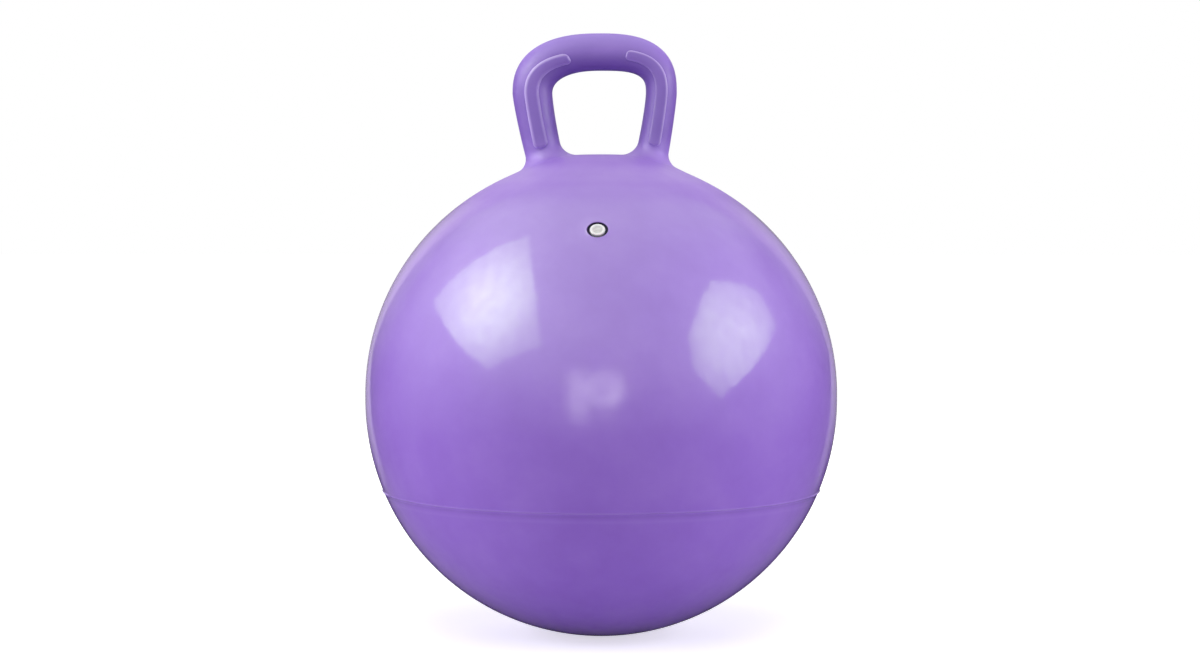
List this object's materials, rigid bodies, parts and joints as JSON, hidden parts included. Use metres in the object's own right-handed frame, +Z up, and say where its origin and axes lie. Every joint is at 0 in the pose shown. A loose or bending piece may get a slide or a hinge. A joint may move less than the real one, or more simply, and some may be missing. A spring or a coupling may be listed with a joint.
{
  "type": "hopper ball",
  "caption": "Inflated vinyl bouncing ball with a moulded loop handle, grip ribs and a pull-out air plug, for sitting on and hopping.",
  "frame": {"origin": "middle of the flat patch on which the ball rests, on the floor under the ball's axis", "axes": "+Z up along the ball's axis to the handle; +X across the handle's opening from its thicker leg to its thinner one; -Y to the front, where the air valve is"},
  "size_m": [0.45, 0.4499, 0.5727],
  "materials": {
    "ball_vinyl": "gloss",
    "handle_vinyl": "satin",
    "seat_vinyl": "satin",
    "plug_plastic": "satin"
  },
  "bodies": {
    "ball": {"upper_shell": "ball_vinyl", "lower_shell": "ball_vinyl", "handle": "handle_vinyl", "rib_front_left": "handle_vinyl", "rib_front_right": "handle_vinyl", "rib_back_left": "handle_vinyl", "rib_back_right": "handle_vinyl", "valve_seat": "seat_vinyl"},
    "plug": {"valve_plug": "plug_plastic"}
  },
  "joints": [
    {"name": "plug_pull", "type": "slide", "parent": "ball", "child": "plug", "axis": [0, -0.7133, 0.7009], "range_m": [0, 0.024]}
  ]
}
